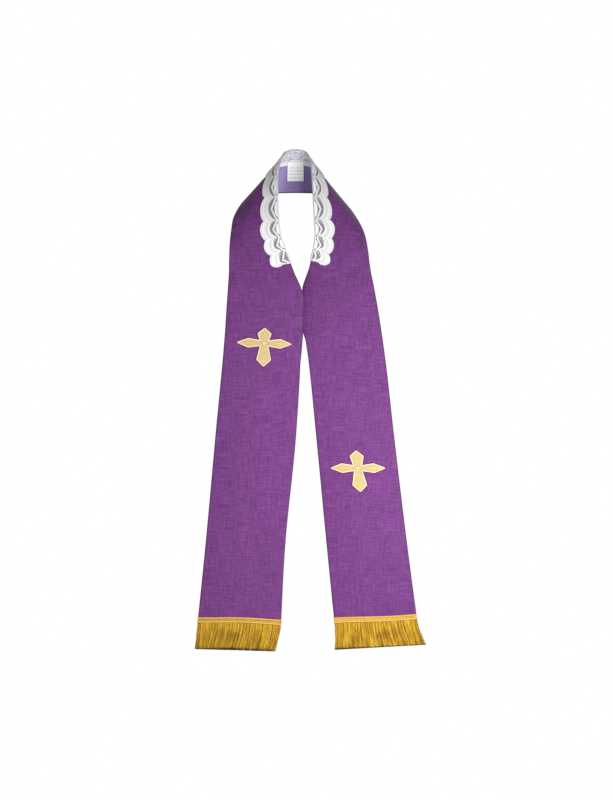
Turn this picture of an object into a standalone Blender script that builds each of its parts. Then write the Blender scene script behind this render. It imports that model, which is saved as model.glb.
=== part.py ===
"""Clerical stole, worn with no wearer: a lined band round an empty neck.

The origin is the neck edge at the centre-back seam, where the neck carries it.
+Z is up and -Y is the front.  Sizes are in millimetres, the scene in metres.
"""
import bmesh
import bpy
import numpy as np

MM = 0.001

FACE_THICK = 1.2
LINING_THICK = 1.0
SEAM_GAP = 0.3
FACE_LOW = SEAM_GAP / 2
FACE_HIGH = FACE_LOW + FACE_THICK
LINING_HIGH = -SEAM_GAP / 2
LINING_LOW = LINING_HIGH - LINING_THICK
TRIM_GAP = 0.4

LACE_THICK = 1.0
LACE_GAP = 0.8
LACE_INSIDE = 26.5
LACE_LEFT, LACE_RIGHT = 265.0, 258.0
LACE_END_ROUND = 12.0
SCALLOP_CELLS = 6

# Dips between the scallops, and how far the lace reaches at the dips and at the scallops.
LACE_DIPS = (-20.0, 20.0, 52.0, 90.0, 134.0, 181.0, 213.0, 239.0, 272.0)
DIP_REACH = ((90.0, 134.0, 181.0, 213.0, 239.0), (26.0, 26.0, 28.5, 31.0, 30.0))
SCALLOP_REACH = ((70.0, 112.0, 157.0, 197.0, 226.0), (31.0, 31.5, 33.5, 36.5, 37.0))

BRAID_TALL = 11.5
BRAID_THICK = 1.6
FRINGE_THICK = 3.6
FRINGE_GAP = 0.5

LABEL_WIDE = 32.0
LABEL_TALL = 37.0
LABEL_DROP = 22.5
LABEL_THICK = 1.0
LABEL_GAP = 0.8

CROSS_THICK = 1.0
CROSS_GAP = 0.8
CROSS_ARM = 52.3

ACROSS = 6
COLLAR_STEP = 8.0
PANEL_STEP = 60.0
COLLAR_REACH = 300.0

# Lines straight across the band, each from its neck edge to its outer edge.
# name, neck edge (x, y, z), outer edge (x, y, z), crown of the middle outwards
NAPE = (
    ("centre back", (0, 0, 0), (0, 8, -82), 0),
    ("nape", (10, -1, -1), (25, 8, -82.5), 0),
    ("nape side", (18, -6, -4.5), (54, 4, -83.5), 0),
)
LEFT = (
    ("ridge back", (-22.5, -14, -10), (-78, -6, -85), 0),
    ("ridge", (-27.5, -25, -19.5), (-97.5, -25, -98), 0),
    ("ridge front", (-31.5, -40, -34), (-117, -51, -127), 0),
    ("shoulder", (-34.5, -56, -57), (-122.5, -75, -154), 0),
    ("collar", (-34, -71, -88), (-125.5, -91, -184), 1),
    ("chest", (-33, -84, -126), (-126.3, -99, -212), 2),
    ("turn", (-29, -91, -162), (-126.5, -102, -233), 3),
    ("closing", (-7, -96, -222), (-128, -105, -258), 4),
    ("meeting top", (9.5, -100, -270), (-130, -107, -286), 4),
    ("meeting foot", (10.5, -104, -348), (-134, -110, -348), 4),
    ("waist", (2, -109, -534), (-151, -114, -534), 4),
    ("low", (-20, -111, -762), (-172, -115, -762), 4),
    ("hem", (-27.5, -111, -905), (-186, -113, -899.5), 3),
    ("fringe tips", (-39, -111, -954.5), (-191, -112, -950), 2),
)
RIGHT = (
    ("ridge back", (22.5, -14, -10), (73, -6, -85), 0),
    ("ridge", (27, -25, -19.5), (92.5, -26, -101), 0),
    ("ridge front", (30, -40, -34), (117.5, -53, -133), 0),
    ("shoulder", (32, -56, -58), (131.5, -78, -161), 0),
    ("collar", (34, -71, -90), (137.5, -93, -189), 1),
    ("chest", (36, -84, -130), (140.5, -100, -214), 2),
    ("turn", (37.5, -91, -168), (143.5, -103, -234), 3),
    ("closing", (27, -97, -220), (148, -106, -256), 4),
    ("meeting top", (18, -101, -266), (152.5, -108, -280), 4),
    ("meeting foot", (17.5, -105, -348), (163, -111, -344), 4),
    ("parting", (24.5, -106.5, -401), (170.5, -112, -398), 4),
    ("waist", (38, -109, -534), (186, -114, -534), 4),
    ("low", (60, -111, -762), (213.5, -115, -762), 4),
    ("hem", (74, -111, -902.5), (231, -113, -894), 3),
    ("fringe tips", (79, -111, -951), (246.5, -112, -941.5), 2),
)


def line_rows():
    """All lines in order, from the left fringe round the nape to the right fringe."""
    flip = np.array([-1.0, 1.0, 1.0])
    rows = [(np.array(neck, float), np.array(outer, float), crown) for _, neck, outer, crown in LEFT[::-1]]
    rows += [(flip * neck, flip * outer, crown) for _, neck, outer, crown in NAPE[:0:-1]]
    rows += [(np.array(neck, float), np.array(outer, float), crown) for _, neck, outer, crown in NAPE]
    rows += [(np.array(neck, float), np.array(outer, float), crown) for _, neck, outer, crown in RIGHT]
    return np.array([np.concatenate((neck, outer, [crown])) for neck, outer, crown in rows])


def smooth_lines(rows, step):
    """Close lines through the rows; the first column is length along the band, 0 at centre back."""
    moved = np.diff(rows, axis=0)
    spans = (np.linalg.norm(moved[:, 0:3], axis=1) + np.linalg.norm(moved[:, 3:6], axis=1)) / 2
    knots = np.concatenate(([0.0], np.cumsum(spans)))
    slopes = np.gradient(rows, knots, axis=0)
    slopes[1:-1] = np.gradient(rows[1:-1], knots[1:-1], axis=0)
    centre = knots[len(LEFT) + len(NAPE) - 1]
    places = np.concatenate([np.linspace(a, b, max(2, int((b - a) / step) + 1))[:-1]
                             for a, b in zip(knots[:-1], knots[1:])] + [knots[-1:]])
    span = np.clip(np.searchsorted(knots, places, side="right") - 1, 0, len(knots) - 2)
    wide = (knots[span + 1] - knots[span])[:, None]
    g = (places[:, None] - knots[span][:, None]) / wide
    lines = (rows[span] * (2 * g ** 3 - 3 * g ** 2 + 1) + slopes[span] * wide * (g ** 3 - 2 * g ** 2 + g)
             + rows[span + 1] * (3 * g ** 2 - 2 * g ** 3) + slopes[span + 1] * wide * (g ** 3 - g ** 2))
    return places - centre, lines


ALONG, LINES = smooth_lines(line_rows(), 4.0)
NECK, OUTER, CROWN = LINES[:, 0:3], LINES[:, 3:6], LINES[:, 6]
NECK_RUN = np.gradient(NECK, ALONG, axis=0)
OUTER_RUN = np.gradient(OUTER, ALONG, axis=0)


def third_corner(a, b, solid_a, solid_b, solid_c, way):
    """Flat place of a triangle's third corner, on the side the band grows to."""
    base = np.linalg.norm(solid_b - solid_a)
    near, far = np.linalg.norm(solid_c - solid_a), np.linalg.norm(solid_c - solid_b)
    down = (near ** 2 - far ** 2 + base ** 2) / (2 * base)
    side = np.sqrt(max(near ** 2 - down ** 2, 0.0))
    run = (b - a) / np.linalg.norm(b - a)
    return a + run * down + np.array([-run[1], run[0]]) * side * way


def lay_flat():
    """The same lines laid out flat, edge lengths kept, from the centre back to both ends."""
    middle = int(np.argmin(np.abs(ALONG)))
    neck, outer = np.zeros((len(ALONG), 2)), np.zeros((len(ALONG), 2))
    outer[middle] = (0, -np.linalg.norm(OUTER[middle] - NECK[middle]))
    for way in (1, -1):
        last = middle
        for k in range(middle + way, len(ALONG) if way > 0 else -1, way):
            neck[k] = third_corner(neck[last], outer[last], NECK[last], OUTER[last], NECK[k], way)
            outer[k] = third_corner(neck[k], outer[last], NECK[k], OUTER[last], OUTER[k], way)
            last = k
    return neck, outer


FLAT_NECK, FLAT_OUTER = lay_flat()


def blend(places, table):
    return np.stack([np.interp(places, ALONG, column) for column in table.T], axis=-1)


def on_band(along, share, height):
    """Points at a length along the band, a share of the way across it and a height off its middle."""
    along, share, height = np.broadcast_arrays(*(np.asarray(v, float) for v in (along, share, height)))
    share, height = share[..., None], height[..., None]
    neck, outer = blend(along, NECK), blend(along, OUTER)
    run = blend(along, NECK_RUN) * (1 - share) + blend(along, OUTER_RUN) * share
    normal = np.cross(run, outer - neck)
    normal /= np.linalg.norm(normal, axis=-1, keepdims=True)
    crown = np.interp(along, ALONG, CROWN)[..., None] * 4 * share * (1 - share)
    return neck + (outer - neck) * share + normal * (crown + height)


def from_flat(points, height):
    """Points of the flat cut put on the band."""
    points = np.asarray(points, float)
    run = FLAT_OUTER - FLAT_NECK
    run /= np.linalg.norm(run, axis=1, keepdims=True)
    rel = points[:, None, :] - FLAT_NECK[None]
    past = run[None, :, 0] * rel[..., 1] - run[None, :, 1] * rel[..., 0]
    k = np.clip((past > 0).sum(axis=1) - 1, 0, len(ALONG) - 2)
    pick = np.arange(len(points))
    g = past[pick, k] / (past[pick, k] - past[pick, k + 1])
    neck = FLAT_NECK[k] + (FLAT_NECK[k + 1] - FLAT_NECK[k]) * g[:, None]
    outer = FLAT_OUTER[k] + (FLAT_OUTER[k + 1] - FLAT_OUTER[k]) * g[:, None]
    across = outer - neck
    share = ((points - neck) * across).sum(axis=1) / (across ** 2).sum(axis=1)
    return on_band(ALONG[k] + (ALONG[k + 1] - ALONG[k]) * g, share, height)


# ---- build
HEM_AT = [float(ALONG[np.argmin(np.linalg.norm(NECK - np.array(rows[-2][1], float), axis=1))])
          for rows in (LEFT, RIGHT)]


def mesh_piece(name, points, faces, colour, roughness):
    """One closed solid from points in millimetres, with its own plain material."""
    bm = bmesh.new()
    corners = [bm.verts.new(point) for point in np.asarray(points) * MM]
    for face in faces:
        bm.faces.new([corners[i] for i in face])
    bmesh.ops.recalc_face_normals(bm, faces=bm.faces)
    mesh = bpy.data.meshes.new(name)
    bm.to_mesh(mesh)
    bm.free()
    material = bpy.data.materials.new(name)
    material.use_nodes = True
    shader = material.node_tree.nodes["Principled BSDF"]
    shader.inputs["Base Color"].default_value = (*colour, 1)
    shader.inputs["Roughness"].default_value = roughness
    mesh.materials.append(material)
    for polygon in mesh.polygons:
        polygon.use_smooth = True
    piece = bpy.data.objects.new(name, mesh)
    bpy.context.scene.collection.objects.link(piece)
    return piece


def ring_faces(count, size, closed=False):
    """Quads between rings of points, with the two end rings filled."""
    faces = [(r * size + i, r * size + (i + 1) % size, (r + 1) * size + (i + 1) % size, (r + 1) * size + i)
             for r in range(count - 1) for i in range(size)]
    return faces if closed else faces + [tuple(range(size)), tuple((count - 1) * size + i for i in range(size))]


def wall_faces(count, size, turn=None):
    """Rings over a wall's high side and back under its low side, cut on one diagonal up to a turn."""
    turn = count if turn is None else turn
    faces = []
    for a, b, c, d in ring_faces(count, size, closed=True):
        forward = (a % size < size // 2) != (a // size >= turn)
        faces += [(a, b, c), (a, c, d)] if forward else [(a, b, d), (b, c, d)]
    for base in (0, (count - 1) * size):
        faces += [(base + i, base + i + 1, base + size - 2 - i, base + size - 1 - i) for i in range(size // 2 - 1)]
    return faces


def wall(name, places, shares, high, low, colour, roughness):
    """A cloth wall between two heights, one ring of points for each place along the band."""
    across = np.concatenate((shares, shares[::-1]))
    heights = np.concatenate((np.full(len(shares), high), np.full(len(shares), low)))
    grid = on_band(np.asarray(places)[:, None], across[None, :], heights[None, :])
    return mesh_piece(name, grid.reshape(-1, 3), wall_faces(len(places), len(across)), colour, roughness)


def panel_places(side):
    """Lengths along one half: close together at the collar, wide apart down the panel."""
    way, hem = (-1, -HEM_AT[0]) if side == "left" else (1, HEM_AT[1])
    collar = np.arange(0, COLLAR_REACH + 0.1, COLLAR_STEP)
    collar[0] = SEAM_GAP / 2
    panel = np.linspace(COLLAR_REACH, hem, int((hem - COLLAR_REACH) / PANEL_STEP) + 1)[1:]
    return way * np.concatenate((collar, panel))


def neck_line(side_lengths):
    """Flat points and inward directions at lengths measured along the neck edge itself."""
    steps = np.linalg.norm(np.diff(FLAT_NECK, axis=0), axis=1)
    run = np.concatenate(([0.0], np.cumsum(steps)))
    run -= np.interp(0, ALONG, run)
    turn = np.gradient(FLAT_NECK, run, axis=0)
    point = np.stack([np.interp(side_lengths, run, FLAT_NECK[:, i]) for i in (0, 1)], axis=-1)
    turn = np.stack([np.interp(side_lengths, run, turn[:, i]) for i in (0, 1)], axis=-1)
    turn /= np.linalg.norm(turn, axis=1, keepdims=True)
    return point, np.stack((turn[:, 1], -turn[:, 0]), axis=-1)


def lace_width(length):
    """Reach of the outside lace from the neck edge, in scallops, rounded off at the two ends."""
    size = np.abs(length)
    dips = np.array(LACE_DIPS)
    at = np.clip(np.searchsorted(dips, size, side="right") - 1, 0, len(dips) - 2)
    bow = np.abs(np.sin(np.pi * (size - dips[at]) / (dips[at + 1] - dips[at])))
    dip, scallop = np.interp(size, *DIP_REACH), np.interp(size, *SCALLOP_REACH)
    end = np.where(length < 0, LACE_LEFT, LACE_RIGHT)
    left = np.clip((end - size) / LACE_END_ROUND, 0, 1)
    return (dip + (scallop - dip) * np.sqrt(bow)) * (0.72 + 0.28 * np.sqrt(1 - (1 - left) ** 2))


def lace_half(end):
    """Lengths along one half of the lace, with a point on every dip."""
    dips = [0.0] + [dip for dip in LACE_DIPS if 0 < dip < end - 10] + [end]
    cells = [SCALLOP_CELLS // 2] + [SCALLOP_CELLS] * (len(dips) - 2)
    return np.concatenate([np.linspace(a, b, n + 1)[:-1] for a, b, n in zip(dips, dips[1:], cells)] + [[end]])


def lace():
    """One strip folded over the neck edge, clear of the cloth inside the fold."""
    left, right = lace_half(LACE_LEFT), lace_half(LACE_RIGHT)
    lengths = np.concatenate((-left[:0:-1], right))
    out_low, in_high = FACE_HIGH + LACE_GAP, LINING_LOW - LACE_GAP
    out_high, in_low = out_low + LACE_THICK, in_high - LACE_THICK
    fold, skin = -0.7, -0.7 - LACE_THICK
    point, inward = neck_line(lengths)
    front = lace_width(lengths)
    back = np.full(len(lengths), LACE_INSIDE)
    parts = (1, 0.78, 0.52, 0.26)
    loop = [(front * part, out_high) for part in parts]
    loop += [(fold, out_high), (skin, out_low - 0.6), (skin, in_high + 0.6), (fold, in_low)]
    loop += [(back * part, in_low) for part in parts[::-1]]
    loop += [(back * part, in_high) for part in parts] + [(fold, in_high), (fold, out_low)]
    loop += [(front * part, out_low) for part in parts[::-1]]
    rings = []
    for reach, height in loop:
        reach = np.broadcast_to(reach, lengths.shape)
        rings.append(from_flat(point + inward * reach[:, None], np.full(len(lengths), height)))
    grid = np.stack(rings, axis=1)
    mesh_piece("lace_collar", grid.reshape(-1, 3), wall_faces(len(lengths), len(loop), len(left) - 1), (0.85, 0.84, 0.84), 0.8)


def panel_frame(side):
    """Flat middle of a hem, with the directions up the panel and towards its neck side."""
    at = HEM_AT[0 if side == "left" else 1]
    above = at * 0.6
    ends = [(blend(np.array([p]), FLAT_NECK)[0], blend(np.array([p]), FLAT_OUTER)[0]) for p in (at, above)]
    middles = [(neck + outer) / 2 for neck, outer in ends]
    up = (middles[1] - middles[0]) / np.linalg.norm(middles[1] - middles[0])
    towards = np.array([-up[1], up[0]]) if side == "left" else np.array([up[1], -up[0]])
    return middles[0], up, towards


def cross(side, rise, shift, upright, level, top, foot):
    """A cross of four kite arms laid on a panel; its upright and its arms each have their own turn."""
    arm = [(0, top), (13, top - 10.5), (8, 4.8), (CROSS_ARM - 21, 8.7), (CROSS_ARM, 0),
           (CROSS_ARM - 21, -8.7), (7.4, -4.8), (13.6, -foot + 12.5), (0, -foot)]
    outline = np.array(arm + [(-x, y) for x, y in arm[-2:0:-1]] + [(0, 0)], float)
    base, up, towards = panel_frame(side)
    upright, level = np.radians((upright, level))
    across = outline[:, 0] * np.cos(level) - outline[:, 1] * np.sin(upright)
    rising = outline[:, 0] * np.sin(level) + outline[:, 1] * np.cos(upright)
    flat = base + (rise + rising)[:, None] * up + (shift + across)[:, None] * towards
    low = FACE_HIGH + CROSS_GAP
    points = np.concatenate([from_flat(flat, np.full(len(flat), height)) for height in (low + CROSS_THICK, low)])
    count = len(outline) - 1
    faces = []
    for i in range(count):
        j = (i + 1) % count
        faces += [(i, j, count), (count + 1 + j, count + 1 + i, 2 * count + 1), (i, count + 1 + i, count + 1 + j, j)]
    mesh_piece("cross_" + side, points, faces, (0.85, 0.68, 0.3), 0.45)


def braid(side):
    """The flat header sewn across the face just above the hem."""
    hem = HEM_AT[0 if side == "left" else 1]
    places = [hem, hem - np.sign(hem) * BRAID_TALL]
    low = FACE_HIGH + TRIM_GAP
    wall("braid_" + side, places, np.linspace(0, 1, ACROSS + 1), low + BRAID_THICK, low, (0.62, 0.42, 0.12), 0.5)


def fringe(side):
    """The reach of the fringe strands, hanging just below the hem."""
    hem = HEM_AT[0 if side == "left" else 1]
    tips = ALONG[0] if side == "left" else ALONG[-1]
    places = np.linspace(hem + np.sign(hem) * FRINGE_GAP, tips, 3)
    middle = (FACE_HIGH + LINING_LOW) / 2
    wall("fringe_" + side, places, np.linspace(0, 1, ACROSS + 1), middle + FRINGE_THICK / 2,
         middle - FRINGE_THICK / 2, (0.6, 0.4, 0.08), 0.45)


def label():
    """The care label stitched over the lace's inside edge at the centre back."""
    high = LINING_LOW - LACE_GAP - LACE_THICK - LABEL_GAP
    xs, drops = np.linspace(-LABEL_WIDE / 2, LABEL_WIDE / 2, 9), (LABEL_DROP, LABEL_DROP + LABEL_TALL)
    rings = []
    for x in xs:
        flat = np.array([(x, -drops[0]), (x, -drops[1]), (x, -drops[1]), (x, -drops[0])])
        rings.append(from_flat(flat, np.array([high, high, high - LABEL_THICK, high - LABEL_THICK])))
    mesh_piece("care_label", np.concatenate(rings), wall_faces(len(xs), 4), (0.85, 0.85, 0.86), 0.6)


for old in list(bpy.data.objects):
    bpy.data.objects.remove(old, do_unlink=True)

SHARES = np.linspace(0, 1, ACROSS + 1)
for half in ("left", "right"):
    wall("face_" + half, panel_places(half), SHARES, FACE_HIGH, FACE_LOW, (0.2, 0.06, 0.24), 0.75)
    wall("lining_" + half, panel_places(half), SHARES, LINING_HIGH, LINING_LOW, (0.25, 0.17, 0.45), 0.5)
    braid(half)
    fringe(half)
cross("left", 535, 0.6, 2.9, 2.9, 29.3, 44.4)
cross("right", 294, 1.4, 0, 6.4, 33.9, 45.7)
lace()
label()
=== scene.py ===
import math

import bmesh
import bpy
import numpy as np
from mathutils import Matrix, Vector


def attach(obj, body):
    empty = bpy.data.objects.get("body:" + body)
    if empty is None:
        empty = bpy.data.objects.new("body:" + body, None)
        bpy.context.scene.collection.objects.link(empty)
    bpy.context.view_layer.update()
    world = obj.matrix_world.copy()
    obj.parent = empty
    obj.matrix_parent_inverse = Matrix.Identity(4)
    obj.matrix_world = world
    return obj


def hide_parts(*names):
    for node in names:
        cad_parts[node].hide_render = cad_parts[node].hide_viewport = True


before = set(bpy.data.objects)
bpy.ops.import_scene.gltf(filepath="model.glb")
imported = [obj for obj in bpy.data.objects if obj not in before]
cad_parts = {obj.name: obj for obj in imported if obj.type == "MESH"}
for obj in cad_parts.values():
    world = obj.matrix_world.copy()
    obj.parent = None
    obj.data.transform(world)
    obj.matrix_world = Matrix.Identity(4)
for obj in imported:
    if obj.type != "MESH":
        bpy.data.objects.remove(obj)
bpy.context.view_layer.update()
mm = 0.001  # lengths below are in millimetres until a piece is draped
draw = np.random.default_rng(11)

# the band: lines straight across it, from left fringe to right fringe
# name, neck edge (x, y, z), outer edge (x, y, z), crown
napeLines = (
    ("centre back", (0, 0, 0), (0, 8, -82), 0),
    ("nape", (10, -1, -1), (25, 8, -82.5), 0),
    ("nape side", (18, -6, -4.5), (54, 4, -83.5), 0),
)
leftLines = (
    ("ridge back", (-22.5, -14, -10), (-78, -6, -85), 0),
    ("ridge", (-27.5, -25, -19.5), (-97.5, -25, -98), 0),
    ("ridge front", (-31.5, -40, -34), (-117, -51, -127), 0),
    ("shoulder", (-34.5, -56, -57), (-122.5, -75, -154), 0),
    ("collar", (-34, -71, -88), (-125.5, -91, -184), 1),
    ("chest", (-33, -84, -126), (-126.3, -99, -212), 2),
    ("turn", (-29, -91, -162), (-126.5, -102, -233), 3),
    ("closing", (-7, -96, -222), (-128, -105, -258), 4),
    ("meeting top", (9.5, -100, -270), (-130, -107, -286), 4),
    ("meeting foot", (10.5, -104, -348), (-134, -110, -348), 4),
    ("waist", (2, -109, -534), (-151, -114, -534), 4),
    ("low", (-20, -111, -762), (-172, -115, -762), 4),
    ("hem", (-27.5, -111, -905), (-186, -113, -899.5), 3),
    ("fringe tips", (-39, -111, -954.5), (-191, -112, -950), 2),
)
rightLines = (
    ("ridge back", (22.5, -14, -10), (73, -6, -85), 0),
    ("ridge", (27, -25, -19.5), (92.5, -26, -101), 0),
    ("ridge front", (30, -40, -34), (117.5, -53, -133), 0),
    ("shoulder", (32, -56, -58), (131.5, -78, -161), 0),
    ("collar", (34, -71, -90), (137.5, -93, -189), 1),
    ("chest", (36, -84, -130), (140.5, -100, -214), 2),
    ("turn", (37.5, -91, -168), (143.5, -103, -234), 3),
    ("closing", (27, -97, -220), (148, -106, -256), 4),
    ("meeting top", (18, -101, -266), (152.5, -108, -280), 4),
    ("meeting foot", (17.5, -105, -348), (163, -111, -344), 4),
    ("parting", (24.5, -106.5, -401), (170.5, -112, -398), 4),
    ("waist", (38, -109, -534), (186, -114, -534), 4),
    ("low", (60, -111, -762), (213.5, -115, -762), 4),
    ("hem", (74, -111, -902.5), (231, -113, -894), 3),
    ("fringe tips", (79, -111, -951), (246.5, -112, -941.5), 2),
)


def bandRows():
    rows = [neck + outer + (crown,) for _, neck, outer, crown in leftLines[::-1]]
    for _, neck, outer, crown in napeLines[:0:-1]:
        rows.append((-neck[0], neck[1], neck[2], -outer[0], outer[1], outer[2], crown))
    rows += [neck + outer + (crown,) for _, neck, outer, crown in napeLines + rightLines]
    return np.array(rows, float)


def smoothBand(rows, step):
    moved = np.diff(rows, axis=0)
    spans = (np.linalg.norm(moved[:, 0:3], axis=1) + np.linalg.norm(moved[:, 3:6], axis=1)) / 2
    knots = np.concatenate(([0.0], np.cumsum(spans)))
    slopes = np.gradient(rows, knots, axis=0)
    slopes[1:-1] = np.gradient(rows[1:-1], knots[1:-1], axis=0)  # the fringe hangs straight on
    centre = knots[len(leftLines) + len(napeLines) - 1]
    cuts = [np.linspace(a, b, max(2, int((b - a) / step) + 1))[:-1]
            for a, b in zip(knots[:-1], knots[1:])]
    places = np.concatenate(cuts + [knots[-1:]])
    span = np.clip(np.searchsorted(knots, places, side="right") - 1, 0, len(knots) - 2)
    wide = (knots[span + 1] - knots[span])[:, None]
    g = (places[:, None] - knots[span][:, None]) / wide
    lines = (rows[span] * (2 * g ** 3 - 3 * g ** 2 + 1)
             + slopes[span] * wide * (g ** 3 - 2 * g ** 2 + g)
             + rows[span + 1] * (3 * g ** 2 - 2 * g ** 3)
             + slopes[span + 1] * wide * (g ** 3 - g ** 2))
    return places - centre, lines


lineStep = 4.0  # about how far apart the smoothed lines stand
bandAlong, bandLines = smoothBand(bandRows(), lineStep)
bandNeck, bandOuter, bandCrown = bandLines[:, 0:3], bandLines[:, 3:6], bandLines[:, 6]
neckRun = np.gradient(bandNeck, bandAlong, axis=0)
outerRun = np.gradient(bandOuter, bandAlong, axis=0)


def thirdCorner(a, b, solidA, solidB, solidC, way):  # flat place of a triangle's third corner
    base = np.linalg.norm(solidB - solidA)
    near, far = np.linalg.norm(solidC - solidA), np.linalg.norm(solidC - solidB)
    down = (near ** 2 - far ** 2 + base ** 2) / (2 * base)
    side = math.sqrt(max(near ** 2 - down ** 2, 0.0))
    run = (b - a) / np.linalg.norm(b - a)
    return a + run * down + np.array([-run[1], run[0]]) * side * way


def layFlat():  # the cut: every line laid out flat from the centre back
    middle = int(np.argmin(np.abs(bandAlong)))
    neck, outer = np.zeros((len(bandAlong), 2)), np.zeros((len(bandAlong), 2))
    outer[middle] = (0, -np.linalg.norm(bandOuter[middle] - bandNeck[middle]))
    for way in (1, -1):
        last = middle
        for k in range(middle + way, len(bandAlong) if way > 0 else -1, way):
            neck[k] = thirdCorner(neck[last], outer[last], bandNeck[last], bandOuter[last],
                                  bandNeck[k], way)
            outer[k] = thirdCorner(neck[k], outer[last], bandNeck[k], bandOuter[last],
                                   bandOuter[k], way)
            last = k
    return neck, outer


def findHem(lines):  # length along the band where its hem line crosses
    away = np.linalg.norm(bandNeck - np.array(lines[-2][1], float), axis=1)
    return float(bandAlong[np.argmin(away)])


cutNeck, cutOuter = layFlat()
hemAt = {"left": findHem(leftLines), "right": findHem(rightLines)}


def blendBand(places, table):
    return np.stack([np.interp(places, bandAlong, column) for column in table.T], axis=-1)


# soft troughs and ridges, uneven from side to side
# along, share across, lean (degrees), half length, half width, depth
creases = (
    (-520, 0.30, 12, 130, 16, -1.3),
    (-640, 0.72, -8, 150, 20, 1.1),
    (-800, 0.42, 5, 120, 15, -0.9),
    (-330, 0.62, 34, 60, 13, -1.2),
    (-255, 0.80, 48, 48, 10, 1.3),
    (-130, 0.70, 62, 34, 9, -1.1),
    (118, 0.74, -60, 36, 9, 1.0),
    (262, 0.66, -40, 54, 12, -1.4),
    (350, 0.35, -22, 70, 14, 1.0),
    (470, 0.70, -10, 130, 18, -1.2),
    (655, 0.30, 9, 150, 18, 1.2),
    (830, 0.60, -6, 110, 15, -1.0),
)


panelFrom, panelFull, bandWide = 110, 160, 150  # the waves start below the shoulders


def relief(along, share):
    panel = np.clip((np.abs(along) - panelFrom) / panelFull, 0, 1)
    wave = (0.9 * np.sin(along / 58 + 2.3 * share + 0.7) + 0.7 * np.sin(along / 97 - 3.1 * share + 2.0)
            + 0.25 * np.sin(along / 19 + 5.0 * share) * np.abs(2 * share - 1) ** 2)
    lift = wave * panel
    for centre, across, lean, long, wide, depth in creases:
        x, y = along - centre, (share - across) * bandWide
        tilt = math.radians(lean)
        run = x * math.cos(tilt) + y * math.sin(tilt)
        off = y * math.cos(tilt) - x * math.sin(tilt)
        lift = lift + depth * np.exp(-(run / long) ** 2 - (off / wide) ** 2)
    return lift


# where the two halves meet at the front the right one goes just behind the left
meeting = {"wide": 18.0, "rightShift": (-5.2, 8.2), "right": (286, 312, 386, 406),
           "leftShift": (3.8, 0.0), "left": (298, 328, 402, 455)}


def tuck(along, share, wide):
    size = np.abs(along)
    right = np.interp(size, meeting["right"], [0, 1, 1, 0])[:, None] * meeting["rightShift"]
    left = np.interp(size, meeting["left"], [0, 1, 1, 0])[:, None] * meeting["leftShift"]
    near = np.clip(1 - share * wide / meeting["wide"], 0, 1) ** 2
    shift = np.where(along[:, None] > 0, right, left) * near[:, None]
    return np.column_stack((shift, np.zeros(len(along))))


def onBand(along, share, height):
    neck, outer = blendBand(along, bandNeck), blendBand(along, bandOuter)
    run = (blendBand(along, neckRun) * (1 - share[:, None])
           + blendBand(along, outerRun) * share[:, None])
    normal = np.cross(run, outer - neck)
    normal /= np.linalg.norm(normal, axis=1, keepdims=True)
    crown = np.interp(along, bandAlong, bandCrown) * 4 * share * (1 - share)
    lift = crown + height + relief(along, share)
    wide = np.linalg.norm(outer - neck, axis=1)
    return neck + (outer - neck) * share[:, None] + normal * lift[:, None] + tuck(along, share, wide)


def onCut(along, share):
    return (blendBand(along, cutNeck) * (1 - share[:, None])
            + blendBand(along, cutOuter) * share[:, None])


pointsAtOnce = 8000


def fromCut(flat):  # length along and share across for points of the flat cut
    run = cutOuter - cutNeck
    run = run / np.linalg.norm(run, axis=1, keepdims=True)
    along, share = np.zeros(len(flat)), np.zeros(len(flat))
    for start in range(0, len(flat), pointsAtOnce):
        part = flat[start:start + pointsAtOnce]
        rel = part[:, None, :] - cutNeck[None]
        past = run[None, :, 0] * rel[..., 1] - run[None, :, 1] * rel[..., 0]
        k = np.clip((past > 0).sum(axis=1) - 1, 0, len(bandAlong) - 2)
        pick = np.arange(len(part))
        g = past[pick, k] / (past[pick, k] - past[pick, k + 1])
        neck = cutNeck[k] + (cutNeck[k + 1] - cutNeck[k]) * g[:, None]
        across = cutOuter[k] + (cutOuter[k + 1] - cutOuter[k]) * g[:, None] - neck
        along[start:start + pointsAtOnce] = bandAlong[k] + (bandAlong[k + 1] - bandAlong[k]) * g
        share[start:start + pointsAtOnce] = (((part - neck) * across).sum(axis=1)
                                             / (across ** 2).sum(axis=1))
    return along, share


def neckLine(length):  # cut point and inward direction at a length along the neck edge
    steps = np.linalg.norm(np.diff(cutNeck, axis=0), axis=1)
    run = np.concatenate(([0.0], np.cumsum(steps)))
    run -= np.interp(0, bandAlong, run)
    turn = np.gradient(cutNeck, run, axis=0)
    point = np.stack([np.interp(length, run, cutNeck[:, i]) for i in (0, 1)], axis=-1)
    turn = np.stack([np.interp(length, run, turn[:, i]) for i in (0, 1)], axis=-1)
    turn /= np.linalg.norm(turn, axis=1, keepdims=True)
    return point, np.stack((turn[:, 1], -turn[:, 0]), axis=-1)


def hemFrame(side):  # cut point at the middle of a hem, up the panel and towards its neck side
    at = np.array([hemAt[side], hemAt[side] * 0.6])
    middles = (blendBand(at, cutNeck) + blendBand(at, cutOuter)) / 2
    up = (middles[1] - middles[0]) / np.linalg.norm(middles[1] - middles[0])
    towards = np.array([-up[1], up[0]]) if side == "left" else np.array([up[1], -up[0]])
    return middles[0], up, towards


# draping: a flat mesh (x, y, height) goes onto the band
def drapeByBand(points, side=None):
    return onBand(points[:, 0], points[:, 1], points[:, 2]), onCut(points[:, 0], points[:, 1])


def drapeByCut(points, side=None):
    along, share = fromCut(points[:, :2])
    return onBand(along, share, points[:, 2]), points[:, :2]


def drapeByNeck(points, side=None):  # x runs along the neck edge, y inwards from it
    point, inward = neckLine(points[:, 0])
    flat = point + inward * points[:, 1:2]
    along, share = fromCut(flat)
    return onBand(along, share, points[:, 2]), flat


def hemWidth(side):
    return float(np.linalg.norm(blendBand(np.array([hemAt[side]]), bandOuter - bandNeck)))


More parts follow.
